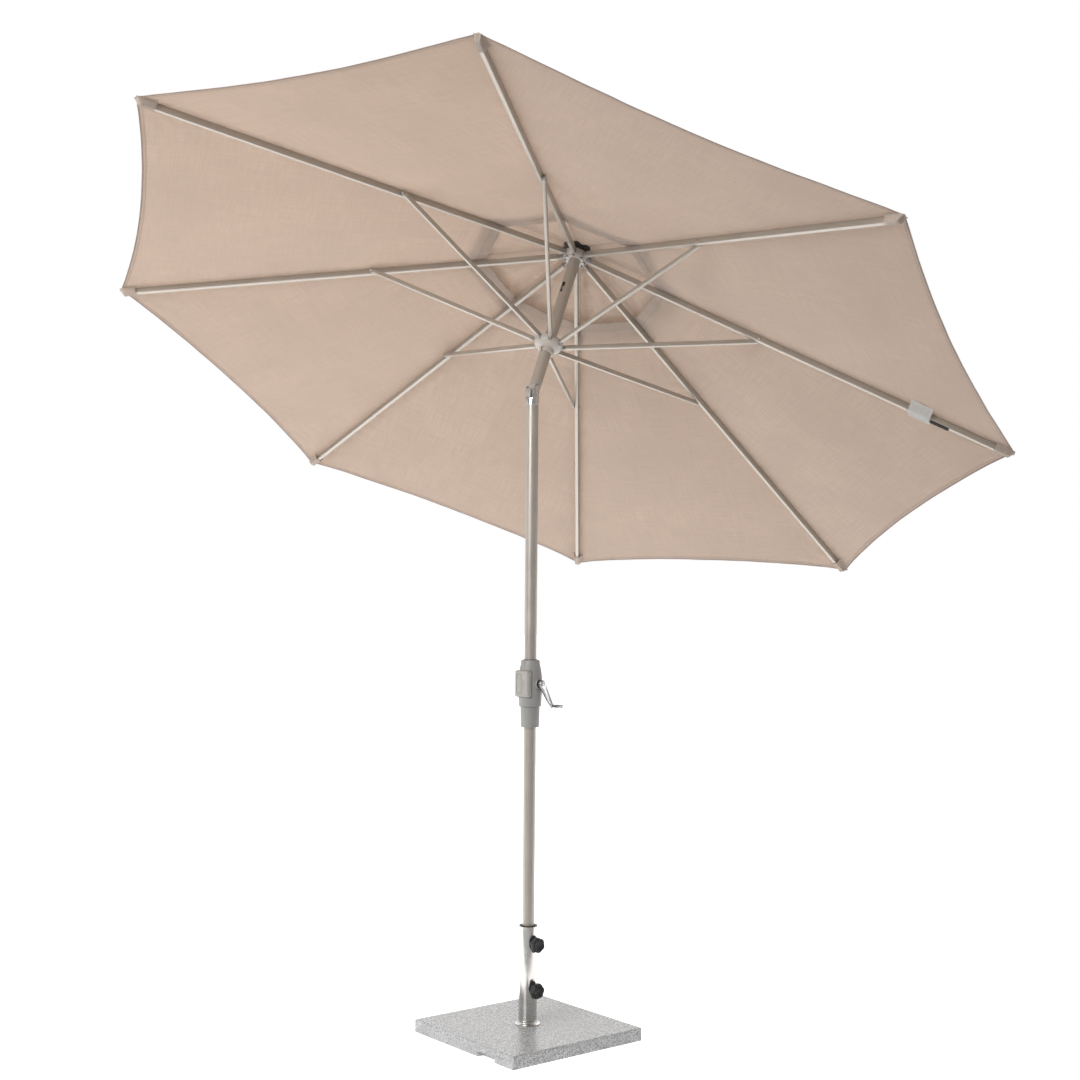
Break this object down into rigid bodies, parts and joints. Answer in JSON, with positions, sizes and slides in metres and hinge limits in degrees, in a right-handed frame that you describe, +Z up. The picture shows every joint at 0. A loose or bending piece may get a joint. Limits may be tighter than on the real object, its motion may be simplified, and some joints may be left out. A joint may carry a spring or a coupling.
{
  "type": "patio umbrella with base",
  "caption": "Centre-pole patio umbrella with a crank, a tilting vented octagonal cloth canopy and a square granite base with a clamping sleeve.",
  "frame": {"origin": "middle of the slab's underside, on the mast's axis; the rubber feet reach 10 mm below it", "axes": "+Z up along the mast; the slab's sides lie along X and Y; the clamp knobs face -Y; the head leans 16.5 degrees round from +X towards +Y"},
  "size_m": [2.6344, 2.8895, 2.7186],
  "materials": {
    "granite": "fine grey granite, polished on top and sawn at the sides",
    "rubber": "matt black moulded rubber",
    "stainless": "polished stainless steel tube",
    "zinc_steel": "zinc-plated steel",
    "black_plastic": "matt black moulded plastic",
    "frame_coat": "champagne-taupe powder coat over aluminium",
    "grey_plastic": "satin warm-grey moulded plastic",
    "beige_plastic": "satin beige moulded plastic",
    "pale_plastic": "satin pale grey moulded plastic",
    "dark_plastic": "matt dark grey moulded plastic",
    "polished_metal": "bright chrome plate",
    "canopy_cloth": "beige plain-weave polyester"
  },
  "bodies": {
    "base": {"granite_slab": "granite", "base_foot_1": "rubber", "base_foot_2": "rubber", "base_foot_3": "rubber", "base_foot_4": "rubber", "base_sleeve": "stainless", "sleeve_flange": "stainless", "sleeve_anchor": "zinc_steel", "sleeve_liner": "black_plastic"},
    "pad_lower": {"clamp_pad_lower": "black_plastic"},
    "pad_upper": {"clamp_pad_upper": "black_plastic"},
    "knob_lower": {"clamp_knob_lower": "black_plastic", "clamp_screw_lower": "zinc_steel"},
    "knob_upper": {"clamp_knob_upper": "black_plastic", "clamp_screw_upper": "zinc_steel"},
    "mast": {"lower_pole": "frame_coat", "middle_pole": "frame_coat", "pole_joiner": "frame_coat", "crank_housing": "grey_plastic", "housing_collar": "grey_plastic", "housing_cover": "beige_plastic", "tilt_fork": "polished_metal", "tilt_pin": "zinc_steel"},
    "crank": {"crank_shaft": "zinc_steel", "crank_arm": "polished_metal"},
    "grip": {"crank_grip": "polished_metal"},
    "button": {"tilt_button": "beige_plastic"},
    "head": {"tilt_knuckle": "beige_plastic", "upper_pole": "frame_coat", "pulley_pin": "zinc_steel", "crown_hub": "pale_plastic", "crown_wire": "zinc_steel", "crown_cap": "dark_plastic", "finial": "beige_plastic", "canopy": "canopy_cloth", "vent_cover": "canopy_cloth"},
    "pulley": {"cord_pulley": "black_plastic"},
    "slider": {"runner": "pale_plastic", "runner_wire": "zinc_steel"},
    "rib_1": {"rib_1": "frame_coat"},
    "rib_2": {"rib_2": "frame_coat"},
    "rib_3": {"rib_3": "frame_coat"},
    "rib_4": {"rib_4": "frame_coat"},
    "rib_5": {"rib_5": "frame_coat"},
    "rib_6": {"rib_6": "frame_coat"},
    "rib_7": {"rib_7": "frame_coat"},
    "rib_8": {"rib_8": "frame_coat"},
    "strut_1": {"strut_1": "frame_coat"},
    "strut_2": {"strut_2": "frame_coat"},
    "strut_3": {"strut_3": "frame_coat"},
    "strut_4": {"strut_4": "frame_coat"},
    "strut_5": {"strut_5": "frame_coat"},
    "strut_6": {"strut_6": "frame_coat"},
    "strut_7": {"strut_7": "frame_coat"},
    "strut_8": {"strut_8": "frame_coat"}
  },
  "joints": [
    {"name": "pole_turn", "type": "hinge", "parent": "base", "child": "mast", "pos_m": [0, 0, 0.2], "axis": [0, 0, 1], "continuous": true},
    {"name": "head_tilt", "type": "hinge", "parent": "mast", "child": "head", "pos_m": [0, 0, 1.99], "axis": [-0.284, 0.9588, 0], "range_deg": [-26.9, 0]},
    {"name": "tilt_release", "type": "slide", "parent": "mast", "child": "button", "axis": [0.9588, 0.284, 0], "range_m": [0, 0.003], "stiffness_N_per_m": 1500},
    {"name": "runner_slide", "type": "slide", "parent": "head", "child": "slider", "axis": [-0.4338, -0.1285, -0.8918], "range_m": [0, 0.11]},
    {"name": "crank_turn", "type": "hinge", "parent": "mast", "child": "crank", "pos_m": [0, 0, 1.088], "axis": [0.1478, -0.989, 0], "range_deg": [0, 630.26]},
    {"name": "grip_spin", "type": "hinge", "parent": "crank", "child": "grip", "pos_m": [0.05324, -0.0426, 1.01795], "axis": [0.1478, -0.989, 0], "continuous": true},
    {"name": "pulley_spin", "type": "hinge", "parent": "head", "child": "pulley", "pos_m": [0.16752, 0.04962, 2.34765], "axis": [-0.284, 0.9588, 0], "range_deg": [-548.06, 0]},
    {"name": "pad_lower_slide", "type": "slide", "parent": "base", "child": "pad_lower", "axis": [0, -1, 0], "range_m": [0, 0.00375]},
    {"name": "knob_lower_turn", "type": "hinge", "parent": "pad_lower", "child": "knob_lower", "pos_m": [0, 0, 0.148], "axis": [0, -1, 0], "range_deg": [0, 1080]},
    {"name": "pad_upper_slide", "type": "slide", "parent": "base", "child": "pad_upper", "axis": [0, -1, 0], "range_m": [0, 0.00375]},
    {"name": "knob_upper_turn", "type": "hinge", "parent": "pad_upper", "child": "knob_upper", "pos_m": [0, 0, 0.288], "axis": [0, -1, 0], "range_deg": [0, 1080]},
    {"name": "rib_1_fold", "type": "hinge", "parent": "head", "child": "rib_1", "pos_m": [0.24983, 0.08927, 2.44431], "axis": [-0.6245, 0.7564, 0.1948], "range_deg": [0, 4.84]},
    {"name": "strut_1_fold", "type": "hinge", "parent": "slider", "child": "strut_1", "pos_m": [0.10048, 0.05836, 2.14352], "axis": [-0.6245, 0.7564, 0.1948], "range_deg": [-5.66, 0]},
    {"name": "rib_2_fold", "type": "hinge", "parent": "head", "child": "rib_2", "pos_m": [0.22835, 0.10107, 2.45306], "axis": [-0.9008, 0.0813, 0.4265], "range_deg": [0, 4.84]},
    {"name": "strut_2_fold", "type": "hinge", "parent": "slider", "child": "strut_2", "pos_m": [0.07208, 0.06461, 2.15644], "axis": [-0.9008, 0.0813, 0.4265], "range_deg": [-5.66, 0]},
    {"name": "rib_3_fold", "type": "hinge", "parent": "head", "child": "rib_3", "pos_m": [0.20652, 0.09318, 2.46482], "axis": [-0.6495, -0.6414, 0.4084], "range_deg": [0, 4.84]},
    {"name": "strut_3_fold", "type": "hinge", "parent": "slider", "child": "strut_3", "pos_m": [0.04924, 0.04716, 2.17006], "axis": [-0.6495, -0.6414, 0.4084], "range_deg": [-5.66, 0]},
    {"name": "rib_4_fold", "type": "hinge", "parent": "head", "child": "rib_4", "pos_m": [0.19712, 0.07023, 2.47269], "axis": [-0.0177, -0.9884, 0.151], "range_deg": [0, 4.84]},
    {"name": "strut_4_fold", "type": "hinge", "parent": "slider", "child": "strut_4", "pos_m": [0.04532, 0.01624, 2.17642], "axis": [-0.0177, -0.9884, 0.151], "range_deg": [-5.66, 0]},
    {"name": "rib_5_fold", "type": "hinge", "parent": "head", "child": "rib_5", "pos_m": [0.20566, 0.04565, 2.47208], "axis": [0.6245, -0.7564, -0.1948], "range_deg": [0, 4.84]},
    {"name": "strut_5_fold", "type": "hinge", "parent": "slider", "child": "strut_5", "pos_m": [0.06263, -0.01005, 2.17179], "axis": [0.6245, -0.7564, -0.1948], "range_deg": [-5.66, 0]},
    {"name": "rib_6_fold", "type": "hinge", "parent": "head", "child": "rib_6", "pos_m": [0.22715, 0.03386, 2.46333], "axis": [0.9008, -0.0813, -0.4265], "range_deg": [0, 4.84]},
    {"name": "strut_6_fold", "type": "hinge", "parent": "slider", "child": "strut_6", "pos_m": [0.09103, -0.0163, 2.15888], "axis": [0.9008, -0.0813, -0.4265], "range_deg": [-5.66, 0]},
    {"name": "rib_7_fold", "type": "hinge", "parent": "head", "child": "rib_7", "pos_m": [0.24898, 0.04174, 2.45157], "axis": [0.6495, 0.6414, -0.4084], "range_deg": [0, 4.84]},
    {"name": "strut_7_fold", "type": "hinge", "parent": "slider", "child": "strut_7", "pos_m": [0.11387, 0.00115, 2.14525], "axis": [0.6495, 0.6414, -0.4084], "range_deg": [-5.66, 0]},
    {"name": "rib_8_fold", "type": "hinge", "parent": "head", "child": "rib_8", "pos_m": [0.25838, 0.0647, 2.44369], "axis": [0.0177, 0.9884, -0.151], "range_deg": [0, 4.84]},
    {"name": "strut_8_fold", "type": "hinge", "parent": "slider", "child": "strut_8", "pos_m": [0.11779, 0.03207, 2.13889], "axis": [0.0177, 0.9884, -0.151], "range_deg": [-5.66, 0]}
  ],
  "couplings": [
    {"joint": "crank_turn", "follows": "runner_slide", "rad_per_m": 100},
    {"joint": "pulley_spin", "follows": "runner_slide", "rad_per_m": -86.957},
    {"joint": "rib_1_fold", "follows": "runner_slide", "rad_per_m": 0.76784},
    {"joint": "strut_1_fold", "follows": "runner_slide", "rad_per_m": -0.89843},
    {"joint": "rib_2_fold", "follows": "runner_slide", "rad_per_m": 0.76784},
    {"joint": "strut_2_fold", "follows": "runner_slide", "rad_per_m": -0.89843},
    {"joint": "rib_3_fold", "follows": "runner_slide", "rad_per_m": 0.76784},
    {"joint": "strut_3_fold", "follows": "runner_slide", "rad_per_m": -0.89843},
    {"joint": "rib_4_fold", "follows": "runner_slide", "rad_per_m": 0.76784},
    {"joint": "strut_4_fold", "follows": "runner_slide", "rad_per_m": -0.89843},
    {"joint": "rib_5_fold", "follows": "runner_slide", "rad_per_m": 0.76784},
    {"joint": "strut_5_fold", "follows": "runner_slide", "rad_per_m": -0.89843},
    {"joint": "rib_6_fold", "follows": "runner_slide", "rad_per_m": 0.76784},
    {"joint": "strut_6_fold", "follows": "runner_slide", "rad_per_m": -0.89843},
    {"joint": "rib_7_fold", "follows": "runner_slide", "rad_per_m": 0.76784},
    {"joint": "strut_7_fold", "follows": "runner_slide", "rad_per_m": -0.89843},
    {"joint": "rib_8_fold", "follows": "runner_slide", "rad_per_m": 0.76784},
    {"joint": "strut_8_fold", "follows": "runner_slide", "rad_per_m": -0.89843},
    {"joint": "knob_lower_turn", "follows": "pad_lower_slide", "rad_per_m": 5026.5},
    {"joint": "knob_upper_turn", "follows": "pad_upper_slide", "rad_per_m": 5026.5}
  ]
}
